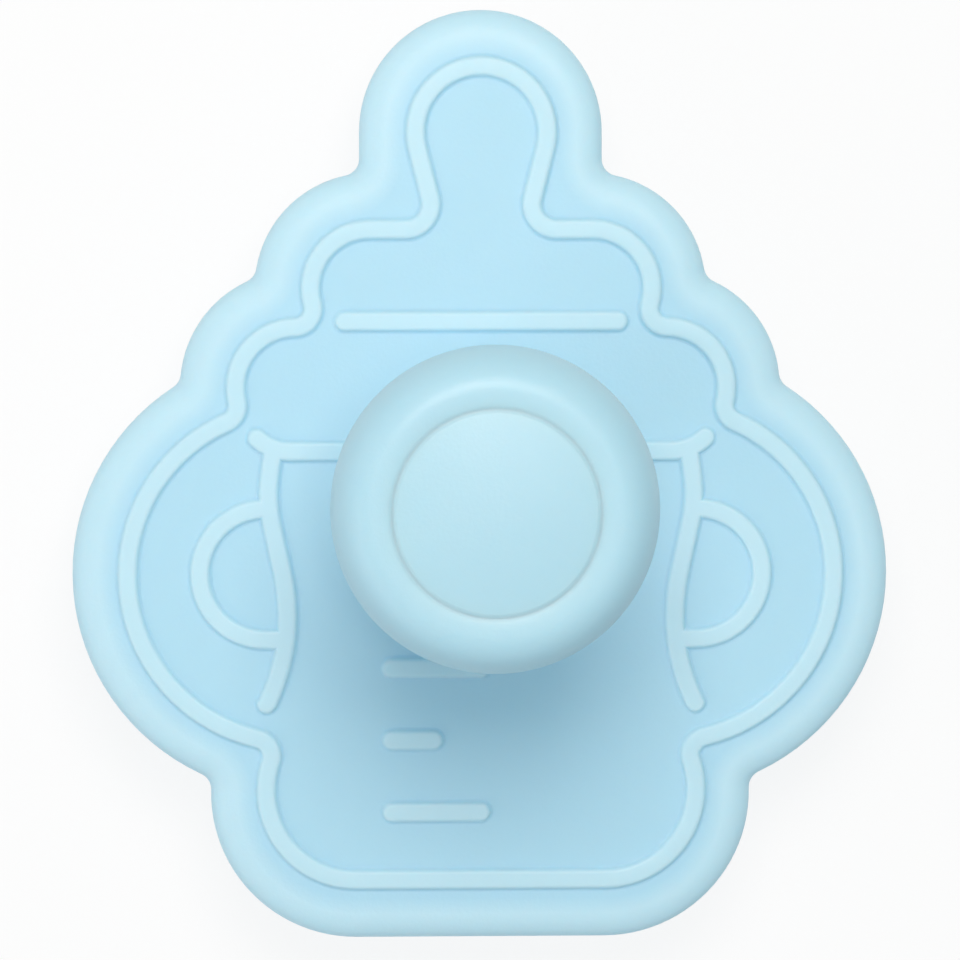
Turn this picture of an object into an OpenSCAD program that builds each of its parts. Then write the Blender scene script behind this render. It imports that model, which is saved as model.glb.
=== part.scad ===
// A hand plunger cutter for rolled dough or sugar paste, cut to the outline of a
// feeding bottle with two handles. Millimetres, +Z up. The origin is on the plunger's
// axis, in the plane of the cutting edge that the cutter stands on. +Y runs from the
// bottle's base to its teat. Pressing the knob drives the stamp plate down the skirt
// and shortens the spring.

/* [Outline] */
// Distance from the plunger's axis to the centre of the teat's dome
teat_y = 26.05; // [25.5:0.05:27.5]
// Radius of the teat's dome, on the raised line
teat_r = 4.95; // [4.6:0.05:5.3]
// Half width of the teat's neck, on the raised line
teat_neck = 3.8; // [3.4:0.05:4.2]
// Radius where the teat's neck turns out onto the collar
throat_r = 1.9; // [1.5:0.1:2.3]
// Distance of the collar's corner from the centre line
collar_x = 8.4; // [7.9:0.1:8.9]
// Height of the collar's corner above the plunger's axis
collar_y = 14.3; // [13.9:0.1:14.7]
// Radius of the collar's corner
collar_r = 4.45; // [4.1:0.05:4.8]
// Distance of the shoulder's corner from the centre line
shoulder_x = 13.95; // [13.5:0.05:14.4]
// Height of the shoulder's corner above the plunger's axis
shoulder_y = 6.85; // [6.5:0.05:7.2]
// Radius of the shoulder's corner
shoulder_r = 4.55; // [4.2:0.05:4.9]
// Distance of the handle lobe's centre from the centre line
ear_x = 14; // [13.5:0.1:14.5]
// Depth of the handle lobe's centre below the plunger's axis
ear_y = 7.35; // [6.9:0.05:7.8]
// Radius of the handle lobe
ear_r = 12.7; // [12.2:0.1:13.2]
// Distance of the base corner's centre from the centre line
base_x = 9.45; // [9:0.05:9.9]
// Depth of the base corner's centre below the plunger's axis
base_y = 23.7; // [23.3:0.05:24.1]
// Radius of the base corner
base_r = 6.85; // [6.4:0.05:7.3]
// Radius of the notches between the lobes, on the raised line
line_notch_r = 1.4; // [1.2:0.05:1.8]
// Radius of the notches between the lobes, on the flange's edge
rim_notch_r = 1.3; // [0.8:0.1:1.8]

/* [Deck] */
// Width of the flange, from the raised line to its edge
flange_w = 4.2; // [3.6:0.1:4.8]
// How much wider the flange is along the base
base_flare = 0.45; // [0.2:0.05:0.8]
// Thickness of the deck and the flange
deck_t = 2.6; // [2.2:0.1:3.2]
// Width of the flange's round-over, seen from above
rim_round_w = 2; // [1.2:0.1:2.6]
// Height of the flange's round-over
rim_round_h = 1.5; // [1:0.1:1.7]
// Radius along the underside of the flange's edge
rim_under_r = 0.5; // [0.3:0.05:0.6]
// Width of the raised lines
line_w = 1.6; // [1.4:0.05:1.9]
// Height of the raised lines above the deck
line_h = 0.6; // [0.4:0.05:0.9]

/* [Skirt] */
// Depth of the cutting skirt below the deck
skirt_h = 12; // [10:0.5:14]
// Thickness of the skirt where it leaves the deck
skirt_t = 1.6; // [1.3:0.1:1.9]
// Thickness of the cutting edge
edge_t = 0.5; // [0.4:0.05:0.7]
// Height of the bevel that thins the skirt to its cutting edge
bevel_h = 3.5; // [2:0.5:5]
// Radius of the fillet between the skirt and the flange
skirt_fillet = 0.5; // [0.3:0.1:0.5]

/* [Drawing on the deck and on the stamp] */
// Half length of the bar across the collar
bar_half = 10.3; // [9.8:0.1:10.8]
// Height of that bar above the plunger's axis
bar_y = 11.85; // [11.6:0.05:12.1]
// Height of the line under the shoulder
hem_y = 2.05; // [1.8:0.05:2.3]
// Distance from the centre line to the tips of that line
hem_tip_x = 16.9; // [16.6:0.1:17.1]
// Rise of the tips above that line
hem_tip_rise = 1; // [0.8:0.1:1.2]
// Radius of the turn up to each tip
hem_turn_r = 3.6; // [3:0.1:4.2]
// Distance of the bottle's side from the centre line, at its widest
side_wide_x = 16.05; // [15.9:0.05:16.2]
// Depth of that place below the plunger's axis
side_wide_y = 1.2; // [0.9:0.1:1.5]
// Radius of the side there
side_wide_r = 10.4; // [9.8:0.1:11]
// Distance of the bottle's side from the centre line, at its waist
side_waist_x = 14.65; // [14.5:0.05:14.8]
// Depth of the waist below the plunger's axis
side_waist_y = 10.4; // [10:0.1:10.8]
// Radius of the side at its waist
side_waist_r = 15.2; // [14.4:0.1:16]
// Distance of the side's lower end from the centre line
side_end_x = 16.25; // [16.1:0.05:16.4]
// Depth of the side's lower end below the plunger's axis
side_end_y = 17.1; // [16.7:0.1:17.5]
// Distance of the handle's centre from the centre line
handle_x = 16.3; // [16:0.1:16.6]
// Depth of the handle's centre below the plunger's axis
handle_y = 7.25; // [7:0.05:7.5]
// Radius of the handle
handle_r = 4.95; // [4.6:0.05:5.3]
// Distance of the measuring marks' left end from the centre line
mark_x = 6.75; // [6.5:0.05:7]
// Depth of the lowest mark below the plunger's axis
mark_y = 25.4; // [25:0.1:25.8]
// Distance from one mark to the next
mark_pitch = 5.5; // [5.2:0.1:5.8]
// Length of a long mark
mark_long = 6.7; // [6:0.1:7.4]
// Length of a short mark
mark_short = 3.1; // [2.8:0.1:3.5]

/* [Neck] */
// Outer radius of the neck, at its top
neck_r = 7.3; // [6.9:0.1:7.6]
// How much wider the neck is at its foot, as draft for the mould
neck_draft = 0.25; // [0.1:0.05:0.4]
// Height of the neck above the deck
neck_h = 8.5; // [7.5:0.5:10]
// Radius of the fillet between the neck and the deck
neck_fillet = 1.2; // [0.8:0.1:1.6]
// Radius of the edge at the top of the neck
neck_edge_r = 0.5; // [0.3:0.05:0.7]
// Length of the bore that guides the stem
guide_len = 4; // [3.5:0.1:4.5]
// Depth of the spring's pocket in the neck
pocket_depth = 3.1; // [2.6:0.1:3.6]

/* [Plunger] */
// Diameter of the stem
stem_d = 6; // [5.6:0.1:6.4]
// Radial running clearance between the stem and its bore
run_clear = 0.05; // [0.03:0.01:0.09]
// Diameter of the stem's keyed ends
key_d = 4.8; // [4.6:0.1:5]
// Distance across the flats of the keyed ends
key_flat = 4; // [3.9:0.1:4.3]
// Clearance all round the keyed ends in their sockets
key_clear = 0.02; // [0.01:0.01:0.04]
// Thickness of the stamp plate
plate_t = 2; // [1.8:0.1:2.4]
// Height of the stamp's embossing ribs
rib_h = 0.9; // [0.7:0.1:1.2]
// Clearance between the stamp plate and the skirt
plate_clear = 0.35; // [0.25:0.05:0.5]
// Gap between the stamp plate and the deck at rest
stop_gap = 0.3; // [0.2:0.05:0.4]
// Outer radius of the stamp's hub
hub_r = 4.7; // [4.4:0.1:4.8]
// Radial clearance between the hub and its recess
hub_clear = 0.4; // [0.3:0.05:0.5]
// How far the key's socket reaches into the stamp plate
socket_sink = 0.9; // [0.6:0.1:1.1]
// How far the ribs pass the cutting edge at full travel
eject = 0.4; // [0:0.1:0.8]

/* [Spring] */
// Diameter of the spring's wire
wire_d = 0.8; // [0.7:0.05:0.85]
// Mean radius of the spring
spring_r = 4.5; // [4.3:0.1:4.6]
// Radial clearance between the spring and its pockets
spring_clear = 0.5; // [0.4:0.05:0.6]
// Gap between the spring and each of its seats
seat_gap = 0.1; // [0.05:0.05:0.2]
// Ease round the mouths of the spring's pockets
mouth_ease = 0.3; // [0.2:0.05:0.4]
// Turns of the spring
turns = 7; // [6:1:7]
// How much closer the end turns lie than the middle ones, from 0 to 1
end_close = 0.38; // [0.2:0.02:0.4]

/* [Knob] */
// Radius of the knob
knob_r = 11.5; // [11:0.1:12]
// Height of the knob
knob_h = 13.8; // [13.4:0.1:14.5]
// Gap between the knob and the neck at full travel
knob_gap = 0.5; // [0.3:0.1:0.8]
// Radius of the knob's hub
knob_hub_r = 6.7; // [6.5:0.1:6.9]
// Radius of the knob's highest ring
crest_r = 8.6; // [8.4:0.1:8.8]
// Depth from the crest to the knob's widest place
crest_drop = 4; // [3.6:0.1:4.4]
// Radius of the knob's underside
belly_r = 4; // [3.7:0.1:4.1]
// Radius of the fillet between the underside and the hub
hub_fillet = 0.8; // [0.5:0.05:0.85]
// Depth of the spring's pocket in the knob
knob_pocket = 3; // [2.6:0.1:3.4]
// Thickness of the knob's floor, which the stem is screwed to
knob_floor = 5.2; // [4.8:0.1:5.4]
// Radius of the chamber under the cap
chamber_r = 5.2; // [5:0.1:5.5]
// Radius of the cap
cap_r = 7.2; // [7:0.05:7.4]
// Clearance all round the cap
cap_clear = 0.05; // [0.02:0.01:0.1]
// Depth from the crest to the cap's edge
cap_drop = 0.45; // [0.3:0.05:0.7]
// Thickness of the cap at its edge
cap_t = 1; // [0.8:0.1:1.2]
// Rise of the cap's dome above its edge
cap_dome = 0.9; // [0.6:0.1:1.2]
// Depth of the ring under the cap that grips the chamber
plug_h = 1.2; // [0.8:0.1:1.3]
// Thickness of that ring
plug_t = 0.8; // [0.6:0.1:1]

/* [Screw] */
// Radius of the screw's shank
screw_r = 1.45; // [1.3:0.05:1.5]
// Length of the shank under the head
screw_len = 9; // [8:0.5:10]
// Radius of the screw's head
head_r = 2.75; // [2.5:0.05:2.9]
// Height of the screw's head
head_h = 1.5; // [1.4:0.1:1.6]
// Outer radius of the washer
washer_r = 4; // [3.7:0.1:4.2]
// Thickness of the washer
washer_t = 0.6; // [0.5:0.1:0.7]
// Clearance all round the shank
screw_clear = 0.02; // [0.01:0.01:0.04]

/* [Hidden] */

// Largest turn, in degrees, between two points of an arc
arc_step = 12;
// Roundness of the turned parts
turned_fn = 96;
// Rings to a turn and sides to a ring of the spring's wire
wire_rings = 8;
wire_sides = 6;
// Depth by which joined pieces of one moulding run into each other
bite = 0.2;
// Step in from a raised line's foot to its crest
bead_step = 0.2;
// Height of the deck's flat land over its rim, and how far it reaches over the rim
land_h = 0.04;
land_out = 0.25;

// Heights, from the cutting edge up
deck_top = skirt_h + deck_t;
neck_top = deck_top + neck_h;
spring_floor = neck_top - pocket_depth;
recess_top = spring_floor - guide_len;
plate_top = skirt_h - stop_gap;
plate_low = plate_top - plate_t;
travel = plate_low - rib_h + eject;
hub_top = recess_top - stop_gap;
socket_floor = plate_top - socket_sink;
knob_low = neck_top + travel + knob_gap;
knob_top = knob_low + knob_h;
knob_seat = knob_low + knob_pocket;
knob_deck = knob_seat + knob_floor;
cap_edge = knob_top - cap_drop;
cap_seat = cap_edge - cap_t;

// Radii that follow from what they hold
bore_r = stem_d / 2 + run_clear;
pocket_r = spring_r + wire_d / 2 + spring_clear;
recess_r = hub_r + hub_clear;
shank_hole_r = screw_r + screw_clear;
skirt_in = -skirt_t / 2;

// Where a circle of radius r touches circle a and circle b from outside, on the left
// of the way from a to b
function nestle(a, b, r) =
    let (gap = [b.x - a.x, b.y - a.y],
         reach_a = a[2] + r,
         reach_b = b[2] + r,
         along = (reach_a ^ 2 - reach_b ^ 2 + gap * gap) / (2 * norm(gap)),
         off = sqrt(max(0, reach_a ^ 2 - along ^ 2)),
         dir = gap / norm(gap))
    [a.x + along * dir.x - off * dir.y, a.y + along * dir.y + off * dir.x, -r];

// An outline runs like a belt round pulleys [x, y, radius], to the left of its way.
// The radius is negative where the belt bends back over the far side of the pulley.
// This is the direction of the belt's outward normal on its way from p to q
function belt_normal(p, q) =
    let (d = [q.x - p.x, q.y - p.y])
    atan2(d.y, d.x) - acos(max(-1, min(1, (p[2] - q[2]) / norm(d))));

// Belt points [x, y, radius, normal] round pulley p, from one normal to another
function round_pulley(p, from, to) =
    let (turn = p[2] < 0 ? -((from - to + 720) % 360) : (to - from + 720) % 360,
         steps = 2 * max(1, ceil(abs(turn) / (2 * arc_step))))
    [for (i = [0:steps]) [p.x, p.y, p[2], from + turn * i / steps]];

// Place of a belt point once the belt is moved out by d. A notch keeps a little radius
function place(p, d) =
    let (r = p[2] < 0 ? min(p[2] + d, -0.05) : p[2] + d)
    [p.x + r * cos(p[3]), p.y + r * sin(p[3])];

// Belt points with those left out that lie on the next one
function distinct(line) =
    [for (i = [0:len(line) - 1])
        if (norm(place(line[i], 0) - place(line[(i + 1) % len(line)], 0)) > 0.002
            || abs(line[i][2]) < 0.002)
        line[i]];

// Closed belt round all the pulleys
function belt(pulleys) =
    let (n = len(pulleys),
         normals = [for (i = [0:n - 1]) belt_normal(pulleys[i], pulleys[(i + 1) % n])])
    distinct([for (i = [0:n - 1])
        each round_pulley(pulleys[i], normals[(i + n - 1) % n], normals[i])]);

// Closed belt drawn tight round an open path: there along one side, round its end and
// back along the other. Moved out by d, it is a stroke 2 d wide with round ends
function stroke(path) =
    let (n = len(path) - 1,
         normals = [for (i = [0:n - 1]) belt_normal(path[i], path[i + 1])],
         side = distinct([for (i = [1:1:n - 1])
             each round_pulley(path[i], normals[i - 1], normals[i])]),
         back = [for (i = [len(side) - 1:-1:0])
             [side[i].x, side[i].y, -side[i][2], side[i][3] + 180]])
    concat(side, round_end(path[n], normals[n - 1]), back, round_end(path[0], normals[0] + 180));

function round_end(p, from) =
    [for (i = [0:6]) [p.x, p.y, 0, from + 30 * i]];

function mirrored(p) = [-p.x, p.y, p[2]];

// The pulleys of the bottle's outline, moved out by grow, with notches of radius notch.
// The teat's sides are half_neck from the centre line where they turn out by radius turn
function bottle(grow, notch, half_neck, turn) =
    let (teat = [0, teat_y, teat_r + grow],
         collar = [collar_x, collar_y, collar_r + grow],
         shoulder = [shoulder_x, shoulder_y, shoulder_r + grow],
         ear = [ear_x, -ear_y, ear_r + grow],
         base = [base_x, -base_y - base_flare * grow / flange_w, base_r + grow],
         throat_x = half_neck + turn,
         over = max(0, throat_x - collar.x),
         throat = [throat_x, collar.y + sqrt((collar[2] + turn) ^ 2 - over ^ 2), -turn],
         right = [base, nestle(ear, base, notch), ear, nestle(shoulder, ear, notch),
                  shoulder, nestle(collar, shoulder, notch), collar, throat])
    concat(right, [teat], [for (i = [len(right) - 1:-1:0]) mirrored(right[i])]);

raised_line = belt(bottle(0, line_notch_r, teat_neck, throat_r));
rim_line = belt(bottle(flange_w, rim_notch_r, teat_r + flange_w, rim_notch_r));

// Wall that follows the line, with the closed section [d, z]
module wall(line, section) {
    n = len(line);
    m = len(section);
    polyhedron(
        points = [for (s = section, p = line) [each place(p, s[0]), s[1]]],
        faces = [for (k = [0:m - 1], i = [0:n - 1])
            each let (up = (k + 1) % m, a = k * n + i, b = k * n + (i + 1) % n,
                      c = up * n + (i + 1) % n, d = up * n + i)
            [[a, d, c], [a, c, b]]]);
}

// Flat shape inside the line, once that is moved out by d
module inside(line, d) polygon([for (p = line) place(p, d)]);

// Stands a flat shape up as a bead h high, in two steps: the lower one at the lines'
// full width, the upper one drawn in by bead_step. Each child is one of the two shapes
module bead(h) {
    foot = h * 0.65;
    translate([0, 0, -bite]) linear_extrude(bite + foot) children(0);
    translate([0, 0, foot / 2]) linear_extrude(h - foot / 2) children(1);
}

// Path of the line under the shoulder, whose two ends turn up
function hem_path() =
    let (turn_x = hem_tip_x - sqrt(hem_turn_r ^ 2 - (hem_turn_r - hem_tip_rise) ^ 2))
    [[-hem_tip_x, hem_y + hem_tip_rise, 0], [-turn_x, hem_y + hem_turn_r, hem_turn_r],
     [turn_x, hem_y + hem_turn_r, hem_turn_r], [hem_tip_x, hem_y + hem_tip_rise, 0]];

// Path down the bottle's left side: out at the top, in at the waist
function side_path() =
    [[-side_wide_x + 0.35, hem_y, 0],
     [-side_wide_x + side_wide_r, -side_wide_y, side_wide_r],
     [-side_waist_x - side_waist_r, -side_waist_y, -side_waist_r],
     [-side_end_x, -side_end_y, 0]];

// Path of the left handle, from the bottle's side and back to the middle of its line
function handle_path() =
    let (end_y = -handle_r - handle_y,
         end_x = sqrt(side_waist_r ^ 2 - (end_y + side_waist_y) ^ 2) - side_waist_r - side_waist_x)
    [[-handle_x + 0.1, handle_r - handle_y, 0], [-handle_x, -handle_y, handle_r],
     [end_x, end_y, 0]];

function mark_path(i) =
    let (y = -mark_y + i * mark_pitch)
    [[-mark_x, y, 0], [-mark_x + (i % 2 == 0 ? mark_long : mark_short), y, 0]];

// The bottle's inner lines as flat strokes, each 2 d wide
module strokes(d) {
    inside(stroke([[-bar_half, bar_y, 0], [bar_half, bar_y, 0]]), d);
    inside(stroke(hem_path()), d);
    for (flip = [0, 1]) mirror([flip, 0]) {
        inside(stroke(side_path()), d);
        inside(stroke(handle_path()), d);
    }
    for (i = [0:2]) inside(stroke(mark_path(i)), d);
}

// The bottle's inner lines, standing h high on the plane z = 0
module drawing(h) {
    bead(h) {
        strokes(line_w / 2);
        strokes(line_w / 2 - bead_step);
    }
}

// Points [r, z] of a quarter ellipse about c, from angle a to angle b
function curve(c, w, h, a, b, n = 8) =
    [for (i = [0:n]) let (t = a + (b - a) * i / n) [c.x + w * cos(t), c.y + h * sin(t)]];

module turned(outline) rotate_extrude($fn = turned_fn) polygon(outline);

module rod(r, low, high) translate([0, 0, low]) cylinder(r = r, h = high - low, $fn = turned_fn);

// Round rod with two flats, d across and flat over the flats
module keyed_rod(d, flat, low, high) {
    intersection() {
        rod(d / 2, low, high);
        translate([-d, -flat / 2, low]) cube([2 * d, flat, high - low]);
    }
}

// Deck and flange: a flat plate with a rounded rim along its edge. The plate stands
// proud of the rim by land_h above, and lies as far behind it below
module deck() {
    round_top = deck_top - land_h;
    under = curve([-rim_under_r, skirt_h + rim_under_r], rim_under_r, rim_under_r, -90, 0, 2);
    over = curve([-rim_round_w, round_top - rim_round_h], rim_round_w, rim_round_h, 0, 90, 4);
    rim_in = -rim_round_w - 1.3;
    wall(rim_line, concat(under, over, [[rim_in, round_top - 0.3], [rim_in, skirt_h]]));
    translate([0, 0, skirt_h + land_h])
        linear_extrude(deck_t - land_h) inside(rim_line, land_out - rim_round_w);
}

// Flat band 2 d wide along the bottle's outline
module outline_band(d) {
    difference() {
        inside(raised_line, d);
        inside(raised_line, -d);
    }
}

// Raised line that follows the bottle's outline round the deck
module outline_line() {
    bead(line_h) {
        outline_band(line_w / 2);
        outline_band(line_w / 2 - bead_step);
    }
}

// Skirt under the raised line: straight inside, drafted outside, bevelled to an edge and
// filleted to the flange as far as the notches leave room
module skirt() {
    skirt_out = skirt_t / 2;
    turn = min(skirt_fillet, line_notch_r - skirt_out - 0.1);
    wall(raised_line, concat(
        [[skirt_in, skirt_h + bite], [skirt_in, 0], [skirt_in + edge_t, 0],
         [skirt_out - 0.15, bevel_h]],
        curve([skirt_out + turn, skirt_h - turn], turn, turn, 180, 100, 3),
        [[skirt_out + turn, skirt_h + bite]]));
}

module neck() {
    foot_r = neck_r + neck_draft + neck_fillet;
    turned(concat(
        [[0, deck_top - bite], [foot_r, deck_top - bite]],
        curve([foot_r, deck_top + neck_fillet], neck_fillet, neck_fillet, 270, 180),
        curve([neck_r - neck_edge_r, neck_top - neck_edge_r], neck_edge_r, neck_edge_r, 0, 90, 4),
        [[0, neck_top]]));
}

// Pocket for one end of the spring, from its floor to its eased mouth, up or down
module spring_pocket(floor, mouth) {
    way = sign(mouth - floor);
    turned([[0, floor], [pocket_r, floor], [pocket_r, mouth - way * mouth_ease],
            [pocket_r + mouth_ease, mouth], [pocket_r + mouth_ease, mouth + way * bite],
            [0, mouth + way * bite]]);
}

module cutter_body() {
    color("lightblue")
    difference() {
        union() {
            deck();
            translate([0, 0, deck_top]) {
                outline_line();
                drawing(line_h);
            }
            skirt();
            neck();
        }
        rod(bore_r, skirt_h, neck_top);
        rod(recess_r, skirt_h - bite, recess_top);
        spring_pocket(spring_floor, neck_top);
    }
}

module stamp_plate() {
    color("lightblue")
    difference() {
        union() {
            translate([0, 0, plate_low])
                linear_extrude(plate_t) inside(raised_line, skirt_in - plate_clear);
            rod(hub_r, plate_top - bite, hub_top);
            translate([0, 0, plate_low]) mirror([0, 0, 1]) drawing(rib_h);
        }
        keyed_rod(key_d + 2 * key_clear, key_flat + 2 * key_clear, socket_floor, hub_top + bite);
    }
}

module plunger_stem() {
    color("lightblue")
    difference() {
        union() {
            keyed_rod(key_d, key_flat, socket_floor, hub_top + bite);
            rod(stem_d / 2, hub_top, knob_seat);
            keyed_rod(key_d, key_flat, knob_seat - bite, knob_deck - bite);
        }
        rod(shank_hole_r, knob_deck + washer_t - screw_len - 1, knob_deck);
    }
}

// Middle of the wire at share u of the spring's length. The end turns lie closer
function spring_height(u) =
    let (low = spring_floor + seat_gap + wire_d / 2,
         high = knob_seat - seat_gap - wire_d / 2)
    low + (high - low) * (u - end_close * sin(360 * u) / (2 * PI));

function spring_middle(u) =
    [spring_r * cos(360 * turns * u), spring_r * sin(360 * turns * u), spring_height(u)];

module return_spring() {
    rings = turns * wire_rings;
    middles = [for (i = [0:rings]) spring_middle(i / rings)];
    gaps = [for (i = [0:rings - wire_rings + 1], j = [i + wire_rings - 1:1:rings])
        norm(middles[j] - middles[i]) - wire_d];
    echo(least_gap_between_turns = min(gaps));
    color("silver")
    polyhedron(
        points = [for (i = [0:rings], s = [0:wire_sides - 1])
            let (turn = 360 * i / wire_rings, t = 360 * s / wire_sides,
                 r = spring_r + wire_d / 2 * cos(t))
            [r * cos(turn), r * sin(turn), middles[i].z + wire_d / 2 * sin(t)]],
        faces = concat(
            [[for (s = [wire_sides - 1:-1:0]) s]],
            [for (i = [0:rings - 1], s = [0:wire_sides - 1])
                each let (a = i * wire_sides + s, b = i * wire_sides + (s + 1) % wire_sides)
                [[a, b, b + wire_sides], [a, b + wire_sides, a + wire_sides]]],
            [[for (s = [0:wire_sides - 1]) rings * wire_sides + s]]));
}

module knob() {
    widest = knob_top - crest_drop;
    lip_w = crest_r - cap_r - cap_clear;
    lip_r = (lip_w ^ 2 + cap_drop ^ 2) / (2 * cap_drop);
    color("powderblue")
    difference() {
        turned(concat(
            [[0, knob_low], [knob_hub_r - 0.4, knob_low], [knob_hub_r, knob_low + 0.4]],
            curve([knob_hub_r + hub_fillet, widest - belly_r - hub_fillet],
                  hub_fillet, hub_fillet, 180, 90, 4),
            curve([knob_r - belly_r, widest], belly_r, belly_r, -90, 0),
            curve([crest_r, widest], knob_r - crest_r, crest_drop, 0, 90, 12),
            curve([crest_r, knob_top - lip_r], lip_r, lip_r, 90, 90 + asin(lip_w / lip_r), 5),
            [[0, cap_edge]]));
        spring_pocket(knob_seat, knob_low);
        keyed_rod(key_d + 2 * key_clear, key_flat + 2 * key_clear, knob_seat - bite, knob_deck + bite);
        rod(chamber_r, knob_deck, cap_edge + bite);
        rod(cap_r + cap_clear, cap_seat, cap_edge + bite);
    }
}

module knob_cap() {
    grip_r = chamber_r - cap_clear;
    dome_r = (cap_r ^ 2 + cap_dome ^ 2) / (2 * cap_dome);
    sweep = asin(cap_r / dome_r);
    color("powderblue")
    turned(concat(
        [[0, cap_seat], [grip_r - plug_t, cap_seat], [grip_r - plug_t, cap_seat - plug_h],
         [grip_r, cap_seat - plug_h], [grip_r, cap_seat], [cap_r, cap_seat]],
        curve([0, cap_edge + cap_dome - dome_r], dome_r, dome_r, 90 - sweep, 90, 10)));
}

module knob_washer() {
    color("silver")
    difference() {
        rod(washer_r, knob_deck, knob_deck + washer_t);
        rod(shank_hole_r, knob_deck - bite, knob_deck + washer_t + bite);
    }
}

// Pan-head screw with a cross recess
module knob_screw() {
    under_head = knob_deck + washer_t;
    head_top = under_head + head_h;
    head_round = 0.6;
    color("silver")
    difference() {
        turned(concat(
            [[0, under_head - screw_len], [screw_r - 0.5, under_head - screw_len],
             [screw_r, under_head - screw_len + 1], [screw_r, under_head], [head_r, under_head]],
            curve([head_r - head_round, head_top - head_round], head_round, head_round, 0, 90, 4),
            [[0, head_top]]));
        for (turn = [0, 90]) rotate(turn)
            translate([-1.5, -0.35, head_top - 0.9]) cube([3, 0.7, 2]);
    }
}

cutter_body();
stamp_plate();
plunger_stem();
return_spring();
knob();
knob_cap();
knob_screw();
knob_washer();
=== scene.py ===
import bmesh
import bpy
import math
from mathutils import Matrix, Vector
from mathutils.kdtree import KDTree


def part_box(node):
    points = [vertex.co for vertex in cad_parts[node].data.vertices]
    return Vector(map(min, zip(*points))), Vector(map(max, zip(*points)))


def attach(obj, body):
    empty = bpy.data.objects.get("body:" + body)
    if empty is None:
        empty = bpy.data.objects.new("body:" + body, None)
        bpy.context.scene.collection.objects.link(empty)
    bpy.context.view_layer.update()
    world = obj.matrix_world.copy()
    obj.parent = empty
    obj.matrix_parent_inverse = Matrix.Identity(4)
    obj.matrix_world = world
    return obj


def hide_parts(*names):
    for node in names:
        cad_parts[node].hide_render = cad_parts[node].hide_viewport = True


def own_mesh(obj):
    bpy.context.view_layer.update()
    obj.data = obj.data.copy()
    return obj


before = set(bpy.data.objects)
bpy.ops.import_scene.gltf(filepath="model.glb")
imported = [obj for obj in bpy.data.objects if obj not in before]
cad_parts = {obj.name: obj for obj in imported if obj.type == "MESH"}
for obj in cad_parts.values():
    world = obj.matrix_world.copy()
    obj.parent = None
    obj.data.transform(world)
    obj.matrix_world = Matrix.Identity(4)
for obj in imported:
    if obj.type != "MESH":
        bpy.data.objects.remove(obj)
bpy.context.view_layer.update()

# Sizes are in millimetres, and a mesh gets them in metres
MM = 0.001

# The bottle's outline, as the centre and radius of each rounded corner
TEAT_Y, TEAT_R = 26.05, 4.95
TEAT_NECK, THROAT_R = 3.8, 1.9
COLLAR = (8.4, 14.3, 4.45)
SHOULDER = (13.95, 6.85, 4.55)
EAR = (14.0, -7.35, 12.7)
BASE = (9.45, -23.7, 6.85)
LINE_NOTCH_R, RIM_NOTCH_R = 1.4, 1.3
FLANGE_W = 4.2
# How much wider the flange is along the base
BASE_FLARE = 0.45

# Deck, and the flange's round edge
DECK_T = 2.6
RIM_ROUND_W, RIM_ROUND_H, RIM_UNDER_R = 2.0, 1.5, 0.5
# Width inside the round edge over which the painted light along the rim fades out, so that the
# flange grows darker inwards
PAINTED_LIGHT_W = 1.2

# Raised lines, whose flanks lean by LINE_LEAN degrees
LINE_W, LINE_H = 1.45, 0.48
LINE_FOOT_R, LINE_CREST_R, LINE_LEAN = 0.28, 0.3, 25
# How many degrees before it lies flat a fillet stops, at a line's foot and elsewhere
LINE_FOOT_STOP, FILLET_STOP = 10, 8

# Skirt, its cutting edge and the bevel over it
SKIRT_H, SKIRT_T, SKIRT_DRAFT, SKIRT_FILLET = 12.0, 1.6, 0.15, 0.5
EDGE_T, EDGE_EASE, BEVEL_H = 0.5, 0.08, 3.5

# The drawing inside the outline
BAR_HALF, BAR_Y = 10.3, 11.85
HEM_Y, HEM_TIP_X, HEM_TIP_RISE, HEM_TURN_R = 2.05, 16.9, 1.0, 3.6
SIDE_WIDE = (16.05, -1.2, 10.4)
SIDE_WAIST = (14.65, -10.4, 15.2)
SIDE_END = (16.25, -17.1)
HANDLE = (16.3, -7.25, 4.95)
# How far towards the middle the upper ends of a side and a handle lie
SIDE_TOP_IN, HANDLE_TOP_IN = 0.35, 0.1
MARK_COUNT = 3
MARK_X, MARK_Y, MARK_PITCH, MARK_LONG, MARK_SHORT = 6.75, -25.4, 5.5, 6.7, 3.1

# Neck, guide and plunger
NECK_R, NECK_DRAFT, NECK_FILLET, NECK_EDGE_R = 7.3, 0.25, 1.2, 0.5
NECK_FOOT_R = NECK_R + NECK_DRAFT + NECK_FILLET
GUIDE_LEN, POCKET_DEPTH, POCKET_R, POCKET_EASE = 4.0, 3.1, 5.4, 0.3
STEM_R, RUN_CLEAR = 3.0, 0.05
PLATE_T, PLATE_EASE, RIB_H, PLATE_CLEAR = 2.0, 0.25, 0.9, 0.35
HUB_R, HUB_CLEAR, HUB_EDGE_R = 4.7, 0.4, 0.3
SOCKET_R, SOCKET_FLAT, SOCKET_SINK = 2.42, 4.04, 0.9
WIRE_D, COIL_R, COIL_TURNS, END_CLOSE = 0.8, 4.5, 7, 0.38

# Knob and cap
KNOB_R, KNOB_HUB_R, CREST_R, CREST_DROP = 11.5, 6.7, 8.6, 4.0
BELLY_R, HUB_FILLET, KNOB_EDGE_R, KNOB_POCKET = 4.0, 0.8, 0.4, 3.0
CAP_R, CAP_CLEAR, CAP_DROP, CAP_T, CAP_DOME = 7.2, 0.05, 0.1, 1.35, 0.5
SEAT_R = CAP_R + CAP_CLEAR
# Gap that shows between the cap and its seat
CAP_SEAM = 0.004
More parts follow.
